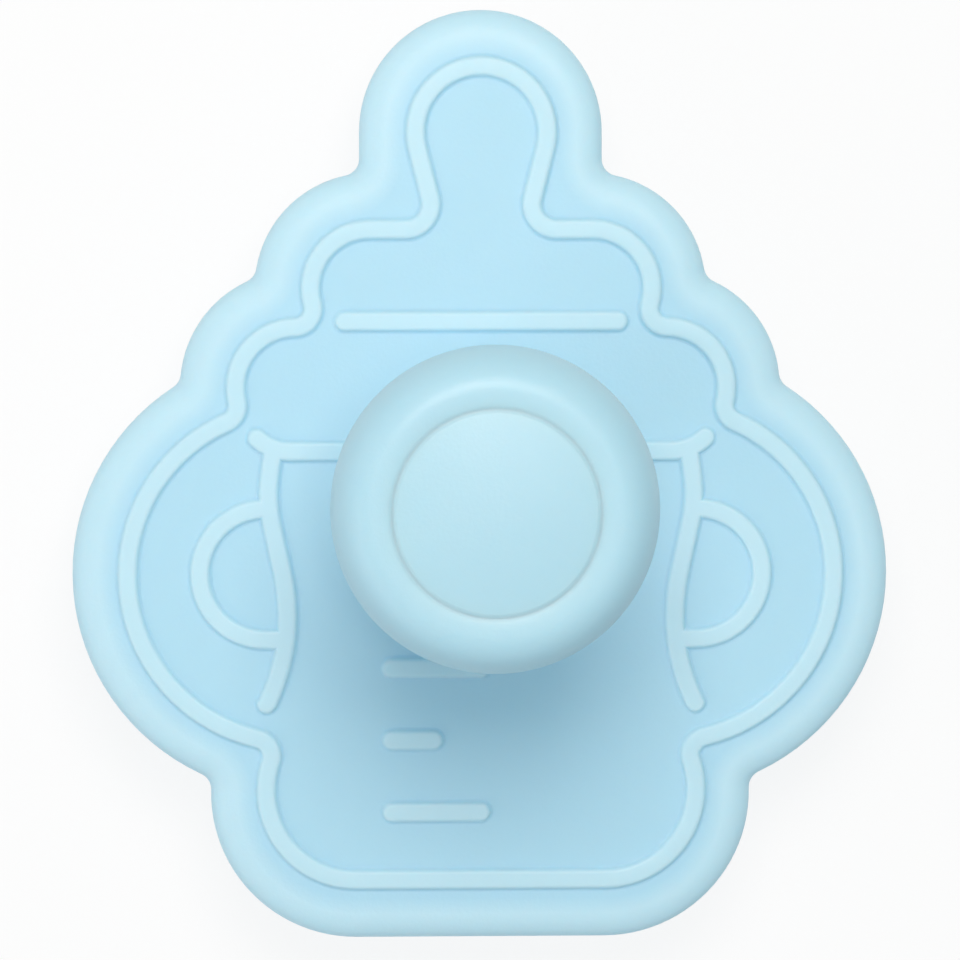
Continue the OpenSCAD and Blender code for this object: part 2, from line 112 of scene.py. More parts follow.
# Groove round the cap: radius of its floor and how steep its sides are, the radius of the
# cap's edge over it, and how far the lip's ellipse bends down to it
GROOVE_R, GROOVE_STEEP = 0.35, math.radians(30)
CAP_ROUND, LIP_BEND = 0.5, math.radians(73)
CHAMBER_R, PLUG_H, PLUG_T = 5.2, 1.2, 0.8

# How far a joined solid reaches into the one that carries it, and a cut past what it cuts
ROOT, SKIRT_ROOT, OVERCUT = 0.4, 0.3, 0.5

# Heights that the frame gives, and those that follow from them
NECK_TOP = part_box("cutter_body")[1].z / MM
HUB_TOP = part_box("stamp_plate")[1].z / MM
PLATE_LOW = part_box("stamp_plate")[0].z / MM + RIB_H
KNOB_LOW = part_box("knob")[0].z / MM
KNOB_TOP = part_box("knob")[1].z / MM
COIL_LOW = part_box("return_spring")[0].z / MM
COIL_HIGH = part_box("return_spring")[1].z / MM
CHAMBER_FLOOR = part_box("knob_washer")[0].z / MM
DECK_TOP = SKIRT_H + DECK_T
SPRING_FLOOR = NECK_TOP - POCKET_DEPTH
RECESS_TOP = SPRING_FLOOR - GUIDE_LEN
PLATE_TOP = PLATE_LOW + PLATE_T
CAP_SEAT = KNOB_TOP - CAP_DROP - CAP_T

# Steps of a corner of the outline, of a line's round end and of a turned solid
ARC_STEP = math.radians(4)
END_STEPS, TURN_STEPS = 10, 128
# Radius that a notch keeps when the line is moved into it
TIGHTEST_R = 0.05
# Distances under which two points are one: on a line, round a wall, in a turned solid
SAME_POINT, WALL_MERGE, TURN_MERGE = 0.002, 0.0005, 0.002


# Outlines

# A line runs like a belt round pulleys (x, y, radius), counter-clockwise, and the radius is
# negative where it bends back over a pulley's far side
def nestle(a, b, r):
    """The notch of radius r that touches circles a and b from outside."""
    gap = Vector((b[0] - a[0], b[1] - a[1]))
    reach_a = a[2] + r
    reach_b = b[2] + r
    along = (reach_a ** 2 - reach_b ** 2 + gap.length_squared) / (2 * gap.length)
    off = math.sqrt(max(0.0, reach_a ** 2 - along ** 2))
    way = gap.normalized()
    return (a[0] + along * way.x - off * way.y, a[1] + along * way.y + off * way.x, -r)


def belt_normal(p, q):
    """Direction, square to the belt, of its straight run from pulley p to pulley q."""
    dx = q[0] - p[0]
    dy = q[1] - p[1]
    lean = max(-1.0, min(1.0, (p[2] - q[2]) / math.hypot(dx, dy)))
    return math.atan2(dy, dx) - math.acos(lean)


def round_pulley(p, start, end):
    """Belt points (x, y, radius, normal) round pulley p, from one normal to another."""
    full = 2 * math.pi
    turn = -((start - end) % full) if p[2] < 0 else (end - start) % full
    steps = 2 * max(1, math.ceil(abs(turn) / (2 * ARC_STEP)))
    return [(p[0], p[1], p[2], start + turn * i / steps) for i in range(steps + 1)]


def place(p, d):
    """Where a belt point lies once the belt is moved out by d."""
    r = min(p[2] + d, -TIGHTEST_R) if p[2] < 0 else p[2] + d
    return Vector((p[0] + r * math.cos(p[3]), p[1] + r * math.sin(p[3])))


def distinct(line):
    """The line without points that lie on the next one. Sharp corners keep theirs."""
    kept = []
    for i, p in enumerate(line):
        ahead = line[(i + 1) % len(line)]
        if (place(p, 0) - place(ahead, 0)).length > SAME_POINT or abs(p[2]) < SAME_POINT:
            kept.append(p)
    return kept


def belt(pulleys):
    """Closed belt round the pulleys."""
    n = len(pulleys)
    normals = [belt_normal(pulleys[i], pulleys[(i + 1) % n]) for i in range(n)]
    line = []
    for i in range(n):
        line += round_pulley(pulleys[i], normals[i - 1], normals[i])
    return distinct(line)


def round_end(p, start):
    """Belt points half round p, which has no radius of its own."""
    return [(p[0], p[1], 0.0, start + math.pi * i / END_STEPS) for i in range(END_STEPS + 1)]


def stroke(path):
    """Closed belt drawn tight round an open path, there and back with round ends."""
    n = len(path) - 1
    normals = [belt_normal(path[i], path[i + 1]) for i in range(n)]
    side = []
    for i in range(1, n):
        side += round_pulley(path[i], normals[i - 1], normals[i])
    side = distinct(side)
    back = [(p[0], p[1], -p[2], p[3] + math.pi) for p in reversed(side)]
    return side + round_end(path[n], normals[-1]) + back + round_end(path[0], normals[0] + math.pi)


def grown(corner, by):
    return (corner[0], corner[1], corner[2] + by)


def bottle(grow, notch, half_neck, turn):
    """Closed line of the bottle's outline, moved out by grow."""
    base, ear = grown(BASE, grow), grown(EAR, grow)
    base = (base[0], base[1] - BASE_FLARE * grow / FLANGE_W, base[2])
    shoulder, collar = grown(SHOULDER, grow), grown(COLLAR, grow)
    throat_x = half_neck + turn
    over = max(0.0, throat_x - collar[0])
    throat = (throat_x, collar[1] + math.sqrt((collar[2] + turn) ** 2 - over ** 2), -turn)
    right = [base, nestle(ear, base, notch), ear, nestle(shoulder, ear, notch),
             shoulder, nestle(collar, shoulder, notch), collar, throat]
    left = [(-x, y, r) for x, y, r in reversed(right)]
    return belt(right + [(0.0, TEAT_Y, TEAT_R + grow)] + left)


OUTLINE = bottle(0, LINE_NOTCH_R, TEAT_NECK, THROAT_R)
RIM = bottle(FLANGE_W, RIM_NOTCH_R, TEAT_R + FLANGE_W, RIM_NOTCH_R)


# Sections, as lists of (distance out or radius, height)
def arc(cx, cz, w, h, start, end, steps):
    """Part of an ellipse of half width w and half height h, from one angle in degrees to
    another."""
    points = []
    for i in range(steps + 1):
        t = math.radians(start + (end - start) * i / steps)
        points.append((cx + w * math.cos(t), cz + h * math.sin(t)))
    return points


def rounding(cx, cz, r, start, end, steps):
    """Part of a circle, from one angle in degrees to another."""
    return arc(cx, cz, r, r, start, end, steps)


def rings_of(line, section):
    """A ring of points along the line for each point of the section."""
    return [[place(p, d).to_3d() + Vector((0, 0, z)) for p in line] for d, z in section]


# Mesh helpers
def deselect():
    bpy.ops.object.select_all(action="DESELECT")


def make_active(piece):
    """Selects the piece alone, for the operators that follow."""
    deselect()
    piece.select_set(True)
    bpy.context.view_layer.objects.active = piece


def named(name):
    piece = bpy.context.object
    piece.name = name
    piece.data.name = name
    return piece


def circle_on(name, points):
    """A circle whose vertices are laid on the points, given in millimetres."""
    deselect()
    bpy.ops.mesh.primitive_circle_add(vertices=len(points), radius=1)
    piece = named(name)
    for vertex, point in zip(piece.data.vertices, points):
        vertex.co = point * MM
    return piece


def first_ring(name, points):
    """A circle laid on the points, each vertex marked with its place in the ring."""
    piece = circle_on(name, points)
    mark = piece.data.attributes.new("ring_place", "INT", "POINT")
    for i in range(len(points)):
        mark.data[i].value = i
    return piece


def extrude_to(piece, ring):
    """Extrudes what is selected and lays the new vertices on the ring."""
    bpy.ops.mesh.extrude_region_move()
    shape = bmesh.from_edit_mesh(piece.data)
    mark = shape.verts.layers.int["ring_place"]
    for vertex in shape.verts:
        if vertex.select:
            vertex.co = ring[vertex[mark]] * MM
    bmesh.update_edit_mesh(piece.data)


def end_editing(merge=0):
    """Merges vertices nearer than merge, turns the faces outwards and leaves edit mode."""
    bpy.ops.mesh.select_all(action="SELECT")
    if merge:
        bpy.ops.mesh.remove_doubles(threshold=merge * MM)
    bpy.ops.mesh.normals_make_consistent(inside=False)
    bpy.ops.object.mode_set(mode="OBJECT")


def lofted(name, rings):
    """Closed shell: a filled circle extruded from ring to ring. Each ring is a list of
    points in millimetres."""
    piece = first_ring(name, rings[0])
    bpy.ops.object.mode_set(mode="EDIT")
    bpy.ops.mesh.select_all(action="SELECT")
    bpy.ops.mesh.edge_face_add()
    for ring in rings[1:]:
        extrude_to(piece, ring)
    end_editing()
    return piece


def wall_ring(name, section):
    """Closed wall that follows the outline with the section."""
    rings = rings_of(OUTLINE, section)
    piece = first_ring(name, rings[0])
    bpy.ops.object.mode_set(mode="EDIT")
    bpy.ops.mesh.select_all(action="SELECT")
    for ring in rings[1:] + rings[:1]:
        extrude_to(piece, ring)
    end_editing(WALL_MERGE)
    return piece


def turned(name, section):
    """Closed solid of revolution: the section is drawn as a chain of edges that starts
    and ends on the axis, and spun round it."""
    piece = circle_on(name, [Vector((r, 0, z)) for r, z in section])
    bpy.ops.object.mode_set(mode="EDIT")
    # The circle's last edge runs back along the axis and is no part of the section
    shape = bmesh.from_edit_mesh(piece.data)
    for edge in list(shape.edges):
        if all(abs(v.co.x) < 1e-9 for v in edge.verts):
            shape.edges.remove(edge)
    bmesh.update_edit_mesh(piece.data)
    bpy.ops.mesh.select_all(action="SELECT")
    bpy.ops.mesh.spin(steps=TURN_STEPS, angle=2 * math.pi, center=(0, 0, 0), axis=(0, 0, 1),
                      use_auto_merge=True)
    end_editing(TURN_MERGE)
    return piece


def combine(piece, tool, operation):
    """Joins the tool to the piece, or cuts it out, and takes the tool away."""
    make_active(piece)
    joint = piece.modifiers.new("combine", "BOOLEAN")
    joint.operation = operation
    joint.solver = "EXACT"
    joint.object = tool
    bpy.ops.object.modifier_apply(modifier=joint.name)
    bpy.data.objects.remove(tool)


def cut_socket(piece, low, high):
    """Cuts the hole that a keyed end of the stem sits in: round, with two flats."""
    lean = math.asin(SOCKET_FLAT / 2 / SOCKET_R)
    half_steps = 6
    outline = []
    for middle in (0, math.pi):
        for i in range(-half_steps, half_steps + 1):
            t = middle + lean * i / half_steps
            outline.append((SOCKET_R * math.cos(t), SOCKET_R * math.sin(t)))
    rings = [[Vector((x, y, z)) for x, y in outline] for z in (low, high)]
    combine(piece, lofted("socket", rings), "DIFFERENCE")


def soften(piece):
    """Smooth shading that keeps broad flats flat."""
    if "ring_place" in piece.data.attributes:
        piece.data.attributes.remove(piece.data.attributes["ring_place"])
    make_active(piece)
    bpy.ops.object.shade_smooth_by_angle(angle=math.radians(40))
    weigh = piece.modifiers.new("weigh", "WEIGHTED_NORMAL")
    weigh.keep_sharp = True
    weigh.weight = 100
    bpy.ops.object.modifier_apply(modifier=weigh.name)


# Materials
def set_inputs(node, values):
    for name, value in values.items():
        node.inputs[name].default_value = value


def moulded_surface_group():
    """Fine texture of a spark-eroded mould: a pitted relief, a patchy gloss, and a
    faint mottle in the colour."""
    group = bpy.data.node_groups.new("moulded_surface", "ShaderNodeTree")
    for name, kind, value in (("Grain", "NodeSocketFloat", 3400.0),
                              ("Relief", "NodeSocketFloat", 0.5),
                              ("Gloss Low", "NodeSocketFloat", 0.4),
                              ("Gloss High", "NodeSocketFloat", 0.5),
                              ("Colour", "NodeSocketColor", (1, 1, 1, 1)),
                              ("Mottle", "NodeSocketColor", (1, 1, 1, 1))):
        socket = group.interface.new_socket(name, in_out="INPUT", socket_type=kind)
        socket.default_value = value
    for name, kind in (("Color", "NodeSocketColor"), ("Roughness", "NodeSocketFloat"),
                       ("Normal", "NodeSocketVector")):
        group.interface.new_socket(name, in_out="OUTPUT", socket_type=kind)
    nodes, links = group.nodes, group.links
    entry = nodes.new("NodeGroupInput")
    result = nodes.new("NodeGroupOutput")
    where = nodes.new("ShaderNodeTexCoord")

    grain = nodes.new("ShaderNodeTexNoise")
    set_inputs(grain, {"Detail": 3})
    links.new(where.outputs["Object"], grain.inputs["Vector"])
    links.new(entry.outputs["Grain"], grain.inputs["Scale"])
    bump = nodes.new("ShaderNodeBump")
    set_inputs(bump, {"Distance": 0.03 * MM})
    links.new(entry.outputs["Relief"], bump.inputs["Strength"])
    links.new(grain.outputs["Fac"], bump.inputs["Height"])
    links.new(bump.outputs["Normal"], result.inputs["Normal"])

    patch = nodes.new("ShaderNodeTexNoise")
    set_inputs(patch, {"Scale": 160, "Detail": 4})
    links.new(where.outputs["Object"], patch.inputs["Vector"])
    gloss = nodes.new("ShaderNodeMapRange")
    set_inputs(gloss, {"From Min": 0.3, "From Max": 0.7})
    links.new(patch.outputs["Fac"], gloss.inputs["Value"])
    links.new(entry.outputs["Gloss Low"], gloss.inputs["To Min"])
    links.new(entry.outputs["Gloss High"], gloss.inputs["To Max"])
    links.new(gloss.outputs["Result"], result.inputs["Roughness"])

    tint = nodes.new("ShaderNodeMix")
    tint.data_type = "RGBA"
    links.new(patch.outputs["Fac"], tint.inputs["Factor"])
    links.new(entry.outputs["Colour"], tint.inputs["A"])
    links.new(entry.outputs["Mottle"], tint.inputs["B"])
    links.new(tint.outputs["Result"], result.inputs["Color"])
    return group


def srgb(r, g, b):
    """Linear colour of an sRGB one, each from 0 to 255."""
    def linear(c):
        c = c / 255
        return c / 12.92 if c <= 0.04045 else ((c + 0.055) / 1.055) ** 2.4
    return (linear(r), linear(g), linear(b), 1.0)


MOULDED_SURFACE = moulded_surface_group()


def surfaced(name, values):
    """A material whose gloss and relief come from the moulded surface with these values,
    and the surface's node and the shader in it."""
    material = bpy.data.materials.new(name)
    material.use_nodes = True
    nodes, links = material.node_tree.nodes, material.node_tree.links
    shader = nodes["Principled BSDF"]
    surface = nodes.new("ShaderNodeGroup")
    surface.node_tree = MOULDED_SURFACE
    set_inputs(surface, values)
    links.new(surface.outputs["Roughness"], shader.inputs["Roughness"])
    links.new(surface.outputs["Normal"], shader.inputs["Normal"])
    return material, surface, shader


def moulded_plastic(name, colour, mottle, gloss_low, gloss_high, painted_light=None):
    """Satin plastic. With a painted-light colour, the piece's painted_light_share attribute says
    how much of that paler colour is painted on, standing in for light that comes through the
    plastic."""
    material, surface, shader = surfaced(name, {
        "Colour": colour, "Mottle": mottle, "Gloss Low": gloss_low, "Gloss High": gloss_high})
    nodes, links = material.node_tree.nodes, material.node_tree.links
    colour_from = surface.outputs["Color"]
    # Painted light: a paler colour mixed in where the share says
    if painted_light:
        share = nodes.new("ShaderNodeAttribute")
        share.attribute_name = "painted_light_share"
        painted_mix = nodes.new("ShaderNodeMix")
        painted_mix.data_type = "RGBA"
        links.new(share.outputs["Fac"], painted_mix.inputs["Factor"])
        links.new(colour_from, painted_mix.inputs["A"])
        painted_mix.inputs["B"].default_value = painted_light
        colour_from = painted_mix.outputs["Result"]
    links.new(colour_from, shader.inputs["Base Color"])
    set_inputs(shader, {"IOR": 1.49, "Specular IOR Level": 0.38, "Subsurface Weight": 0.4,
                        "Subsurface Scale": 1.3 * MM, "Subsurface Radius": (0.6, 0.9, 1.0)})
    return material


def steel(name, colour, gloss_low, gloss_high):
    """Bright metal, with a finer grain and a much lower relief than the plastic has."""
    material, surface, shader = surfaced(name, {
        "Grain": 5200, "Relief": 0.05, "Gloss Low": gloss_low, "Gloss High": gloss_high})
    set_inputs(shader, {"Base Color": colour, "Metallic": 1.0})
    return material


# Body blue, with a paler colour of painted light on the crests of the raised lines and along the
# flange's rim
BODY_BLUE = moulded_plastic("body_blue", srgb(182, 226, 246), srgb(186, 228, 246), 0.42, 0.52,
                            painted_light=srgb(200, 235, 251))
KNOB_BLUE = moulded_plastic("knob_blue", srgb(177, 218, 234), srgb(181, 221, 235), 0.36, 0.42)
SPRING_WIRE = steel("spring_wire", srgb(200, 202, 205), 0.16, 0.26)
ZINC = steel("zinc", srgb(188, 190, 194), 0.28, 0.38)


def finish_with(piece, material):
    piece.data.materials.clear()
    piece.data.materials.append(material)


# Raised lines of the drawing, whose paths are pulleys as for a belt, with ends of radius 0
def bead_side():
    """Half section of a raised line, from its foot to its crest."""
    half = LINE_W / 2
    foot = rounding(half + LINE_FOOT_R, LINE_FOOT_R, LINE_FOOT_R,
                    270 - LINE_FOOT_STOP, 180 + LINE_LEAN, 4)
    crest = rounding(half - LINE_CREST_R, LINE_H - LINE_CREST_R, LINE_CREST_R, LINE_LEAN, 90, 5)
    return foot + crest


def hem_path():
    """The line across the bottle, with both tips turned up."""
    turn_x = HEM_TIP_X - math.sqrt(HEM_TURN_R ** 2 - (HEM_TURN_R - HEM_TIP_RISE) ** 2)
    return [(-HEM_TIP_X, HEM_Y + HEM_TIP_RISE, 0), (-turn_x, HEM_Y + HEM_TURN_R, HEM_TURN_R),
            (turn_x, HEM_Y + HEM_TURN_R, HEM_TURN_R), (HEM_TIP_X, HEM_Y + HEM_TIP_RISE, 0)]


def side_path():
    """The bottle's left side, from the hem down round the belly and the waist."""
    return [(-SIDE_WIDE[0] + SIDE_TOP_IN, HEM_Y, 0),
            (-SIDE_WIDE[0] + SIDE_WIDE[2], SIDE_WIDE[1], SIDE_WIDE[2]),
            (-SIDE_WAIST[0] - SIDE_WAIST[2], SIDE_WAIST[1], -SIDE_WAIST[2]),
            (-SIDE_END[0], SIDE_END[1], 0)]


def handle_path():
    """The left handle, which ends on the side's line."""
    end_y = HANDLE[1] - HANDLE[2]
    waist_x, waist_y, waist_r = SIDE_WAIST
    end_x = math.sqrt(waist_r ** 2 - (end_y - waist_y) ** 2) - waist_r - waist_x
    return [(-HANDLE[0] + HANDLE_TOP_IN, HANDLE[1] + HANDLE[2], 0),
            (-HANDLE[0], HANDLE[1], HANDLE[2]), (end_x, end_y, 0)]


def mark_path(i):
    """Measuring mark i, counted from the base. Every other one is short."""
    y = MARK_Y + i * MARK_PITCH
    length = MARK_SHORT if i % 2 else MARK_LONG
    return [(-MARK_X, y, 0), (-MARK_X + length, y, 0)]


def add_drawing(piece, level, h, up):
    """Stands the bottle's inner lines on the piece, h high, up (1) or down (-1)."""
    paths = [([(-BAR_HALF, BAR_Y, 0), (BAR_HALF, BAR_Y, 0)], 1), (hem_path(), 1)]
    for flip in (1, -1):
        paths += [(side_path(), flip), (handle_path(), flip)]
    paths += [(mark_path(i), 1) for i in range(MARK_COUNT)]
    side = [(d, z * h / LINE_H) for d, z in bead_side()]
    section = [(d, level + up * z) for d, z in [(side[0][0], -ROOT)] + side]
    for i, (path, flip) in enumerate(paths):
        rings = rings_of(stroke(path), section)
        if flip < 0:
            rings = [[Vector((-p.x, p.y, p.z)) for p in ring] for ring in rings]
        combine(piece, lofted("line_%d" % i, rings), "UNION")


# Cutter body
def rim_tree():
    """The flange's rim as closely spaced points, for the distance of a place from it."""
    spacing = 0.3
    samples = []
    for i, p in enumerate(RIM):
        start, end = place(p, 0).to_3d(), place(RIM[(i + 1) % len(RIM)], 0).to_3d()
        pieces = max(1, math.ceil((end - start).length / spacing))
        samples += [start.lerp(end, k / pieces) for k in range(pieces)]
    tree = KDTree(len(samples))
    for i, spot in enumerate(samples):
        tree.insert(spot, i)
    tree.balance()
    return tree


def paint_light_share(shell):
    """Sets painted_light_share at each vertex: none on the deck, and all on the upper half of the
    raised lines and along the flange's narrow rim. The paler colour there is painted light,
    standing in for light that comes through the plastic and for the lines' crests catching more
    light than their feet."""
    tree = rim_tree()
    level_slack, neck_slack = 0.02, 0.1
    share = shell.data.attributes.new("painted_light_share", "FLOAT", "POINT")
    for vertex, value in zip(shell.data.vertices, share.data):
        flat = Vector((vertex.co.x, vertex.co.y, 0)) / MM
        above = vertex.co.z / MM - DECK_TOP
        in_from_round = tree.find(flat)[2] - RIM_ROUND_W
        off_neck = flat.length > NECK_FOOT_R + neck_slack
        # Painted highlight on the raised lines: paler towards their crests, none at their feet
        if level_slack < above < LINE_H + level_slack and off_neck:
            value.value = min(1.0, 2 * above / LINE_H)
        else:
            # Painted light along the flange's rim, fading to none inwards
            value.value = max(0.0, min(1.0, 1 - in_from_round / PAINTED_LIGHT_W))


def make_flange():
    under = rounding(-RIM_UNDER_R, SKIRT_H + RIM_UNDER_R, RIM_UNDER_R, -90, 0, 4)
    over = arc(-RIM_ROUND_W, DECK_TOP - RIM_ROUND_H, RIM_ROUND_W, RIM_ROUND_H, 0, 90, 10)
    # A ring on the flange's top where the painted light along the rim has faded out
    inner_ring = (-RIM_ROUND_W - PAINTED_LIGHT_W, DECK_TOP)
    return lofted("cutter_shell", rings_of(RIM, under + over + [inner_ring]))


def make_outline_bead():
    outer = [(d, DECK_TOP + z) for d, z in bead_side()]
    inner = [(-d, z) for d, z in reversed(outer)]
    root_z = DECK_TOP - ROOT
    return wall_ring("outline", [(outer[0][0], root_z)] + outer + inner
                     + [(inner[-1][0], root_z)])


def make_skirt():
    inside = -SKIRT_T / 2
    flange_at = SKIRT_T / 2 + SKIRT_FILLET
    return wall_ring("skirt", [
        (inside, SKIRT_H + SKIRT_ROOT), (inside, EDGE_EASE), (inside + EDGE_EASE, 0),
        (inside + EDGE_T - EDGE_EASE, 0), (inside + EDGE_T, EDGE_EASE),
        (SKIRT_T / 2 - SKIRT_DRAFT, BEVEL_H)]
        + rounding(flange_at, SKIRT_H - SKIRT_FILLET, SKIRT_FILLET, 180, 90 + FILLET_STOP, 6)
        + [(flange_at, SKIRT_H + SKIRT_ROOT)])


def make_neck():
    foot = rounding(NECK_FOOT_R, DECK_TOP + NECK_FILLET, NECK_FILLET, 270 - FILLET_STOP, 180, 10)
    edge = rounding(NECK_R - NECK_EDGE_R, NECK_TOP - NECK_EDGE_R, NECK_EDGE_R, 0, 90, 5)
    return turned("neck", [(0, DECK_TOP - ROOT), (NECK_FOOT_R, DECK_TOP - ROOT)] + foot + edge
                  + [(0, NECK_TOP)])


def make_guide():
    """What is cut out for the plunger: the hub's recess, the bore and the spring's pocket."""
    bore = STEM_R + RUN_CLEAR
    recess = HUB_R + HUB_CLEAR
    mouth = POCKET_R + POCKET_EASE
    return turned("guide", [
        (0, SKIRT_H - OVERCUT), (recess, SKIRT_H - OVERCUT), (recess, RECESS_TOP),
        (bore, RECESS_TOP), (bore, SPRING_FLOOR), (POCKET_R, SPRING_FLOOR),
        (POCKET_R, NECK_TOP - POCKET_EASE), (mouth, NECK_TOP), (mouth, NECK_TOP + OVERCUT),
        (0, NECK_TOP + OVERCUT)])


def make_cutter_shell():
    shell = make_flange()
    combine(shell, make_outline_bead(), "UNION")
    combine(shell, make_skirt(), "UNION")
    combine(shell, make_neck(), "UNION")
    add_drawing(shell, DECK_TOP, LINE_H, 1)
    combine(shell, make_guide(), "DIFFERENCE")
    paint_light_share(shell)
    soften(shell)
    return shell


cutter_shell = make_cutter_shell()
finish_with(cutter_shell, BODY_BLUE)
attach(cutter_shell, "cutter")
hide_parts("cutter_body")


# Stamp plate
def make_stamp():
    edge = -SKIRT_T / 2 - PLATE_CLEAR
    low = rounding(edge - PLATE_EASE, PLATE_LOW + PLATE_EASE, PLATE_EASE, 270, 360, 3)
    high = rounding(edge - PLATE_EASE, PLATE_TOP - PLATE_EASE, PLATE_EASE, 0, 90, 3)
    stamp = lofted("stamp", rings_of(OUTLINE, low + high))
    hub_edge = rounding(HUB_R - HUB_EDGE_R, HUB_TOP - HUB_EDGE_R, HUB_EDGE_R, 0, 90, 4)
    hub = turned("hub", [(0, PLATE_TOP - ROOT), (HUB_R, PLATE_TOP - ROOT)] + hub_edge
                 + [(0, HUB_TOP)])
    combine(stamp, hub, "UNION")
    cut_socket(stamp, PLATE_TOP - SOCKET_SINK, HUB_TOP + OVERCUT)
    add_drawing(stamp, PLATE_LOW, RIB_H, -1)
    soften(stamp)
    return stamp


stamp = make_stamp()
finish_with(stamp, BODY_BLUE)
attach(stamp, "plunger")
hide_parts("stamp_plate")


# Knob and its cap
def cap_edge():
    """Radius of the cap, radius and centre height of its dome, the centre (r, z) of its
    rounded edge, and the height of the groove's floor."""
    edge_r = SEAT_R - CAP_SEAM
    dome_r = (edge_r ** 2 + CAP_DOME ** 2) / (2 * CAP_DOME)
    dome_z = KNOB_TOP - CAP_DROP + CAP_DOME - dome_r
    round_r = edge_r - (GROOVE_R + CAP_ROUND) * math.sin(GROOVE_STEEP)
    round_z = dome_z + math.sqrt((dome_r - CAP_ROUND) ** 2 - round_r ** 2)
    groove_z = round_z + (GROOVE_R + CAP_ROUND) * math.cos(GROOVE_STEEP) - GROOVE_R
    return edge_r, dome_r, dome_z, round_r, round_z, groove_z


def make_knob():
    widest = KNOB_TOP - CREST_DROP
    pocket_z = KNOB_LOW + KNOB_POCKET
    pocket = [(0, pocket_z), (POCKET_R, pocket_z), (POCKET_R, KNOB_LOW + POCKET_EASE),
              (POCKET_R + POCKET_EASE, KNOB_LOW)]
    hub = rounding(KNOB_HUB_R - KNOB_EDGE_R, KNOB_LOW + KNOB_EDGE_R, KNOB_EDGE_R, 270, 360, 4)
    hub += rounding(KNOB_HUB_R + HUB_FILLET, widest - BELLY_R - HUB_FILLET, HUB_FILLET,
                    180, 90, 6)
    belly = rounding(KNOB_R - BELLY_R, widest, BELLY_R, -90, 0, 14)[:-1]
    crown = arc(CREST_R, widest, KNOB_R - CREST_R, CREST_DROP, 0, 90, 20)

    steep = math.degrees(GROOVE_STEEP)
    groove_z = cap_edge()[-1]
    lip_end_r = SEAT_R + GROOVE_R * math.sin(GROOVE_STEEP)
    lip_end_z = groove_z + GROOVE_R * (1 - math.cos(GROOVE_STEEP))
    lip_w = (CREST_R - lip_end_r) / math.sin(LIP_BEND)
    lip_h = (KNOB_TOP - lip_end_z) / (1 - math.cos(LIP_BEND))
    lip = arc(CREST_R, KNOB_TOP - lip_h, lip_w, lip_h, 90, 90 + math.degrees(LIP_BEND), 16)[1:]
    groove = rounding(SEAT_R, groove_z + GROOVE_R, GROOVE_R, 270 + steep, 270, 5)[1:]
    chamber = [(SEAT_R, CAP_SEAT), (CHAMBER_R, CAP_SEAT), (CHAMBER_R, CHAMBER_FLOOR),
               (0, CHAMBER_FLOOR)]

    knob = turned("knob_shell", pocket + hub + belly + crown + lip + groove + chamber)
    cut_socket(knob, pocket_z - OVERCUT, CHAMBER_FLOOR + OVERCUT)
    soften(knob)
    return knob


def make_cap():
    grip_r = CHAMBER_R - CAP_CLEAR
    edge_r, dome_r, dome_z, round_r, round_z, groove_z = cap_edge()
    sweep = math.degrees(math.asin(round_r / (dome_r - CAP_ROUND)))
    steep = math.degrees(GROOVE_STEEP)
    under = [(0, CAP_SEAT), (grip_r - PLUG_T, CAP_SEAT), (grip_r - PLUG_T, CAP_SEAT - PLUG_H),
             (grip_r, CAP_SEAT - PLUG_H), (grip_r, CAP_SEAT), (edge_r, CAP_SEAT)]
    dome = rounding(edge_r, groove_z + GROOVE_R, GROOVE_R, 270, 270 - steep, 5)
    dome += rounding(round_r, round_z, CAP_ROUND, 90 - steep, 90 - sweep, 6)[1:]
    dome += rounding(0, dome_z, dome_r, 90 - sweep, 90, 20)[1:]
    cap = turned("cap_dome", under + dome[:-1] + [(0, dome[-1][1])])
    soften(cap)
    return cap


knob_shell = make_knob()
finish_with(knob_shell, KNOB_BLUE)
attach(knob_shell, "plunger")
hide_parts("knob")

cap_dome = make_cap()
finish_with(cap_dome, KNOB_BLUE)
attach(cap_dome, "plunger")
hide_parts("knob_cap")


# Return spring
def make_coil():
    """A helix whose end turns lie closer together, as a round wire."""
    low = COIL_LOW + WIRE_D / 2
    high = COIL_HIGH - WIRE_D / 2
    per_turn = 40
    steps = COIL_TURNS * per_turn
    path = bpy.data.curves.new("coil", "CURVE")
    path.dimensions = "3D"
    path.bevel_depth = WIRE_D / 2 * MM
    path.bevel_resolution = 4
    path.use_fill_caps = True
    wire = path.splines.new("POLY")
    wire.points.add(steps)
    for i in range(steps + 1):
        u = i / steps
        t = 2 * math.pi * COIL_TURNS * u
        z = low + (high - low) * (u - END_CLOSE * math.sin(2 * math.pi * u) / (2 * math.pi))
        wire.points[i].co = (COIL_R * math.cos(t) * MM, COIL_R * math.sin(t) * MM, z * MM, 1)
    coil = bpy.data.objects.new("coil", path)
    bpy.context.scene.collection.objects.link(coil)
    make_active(coil)
    bpy.ops.object.convert(target="MESH")
    coil = named("coil")
    bpy.ops.object.shade_smooth_by_angle(angle=math.radians(50))
    return coil


coil = make_coil()
finish_with(coil, SPRING_WIRE)
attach(coil, "cutter")
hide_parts("return_spring")
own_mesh(coil)

# Pieces that stay as the frame has them
finish_with(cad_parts["plunger_stem"], BODY_BLUE)
finish_with(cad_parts["knob_screw"], ZINC)
finish_with(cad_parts["knob_washer"], ZINC)


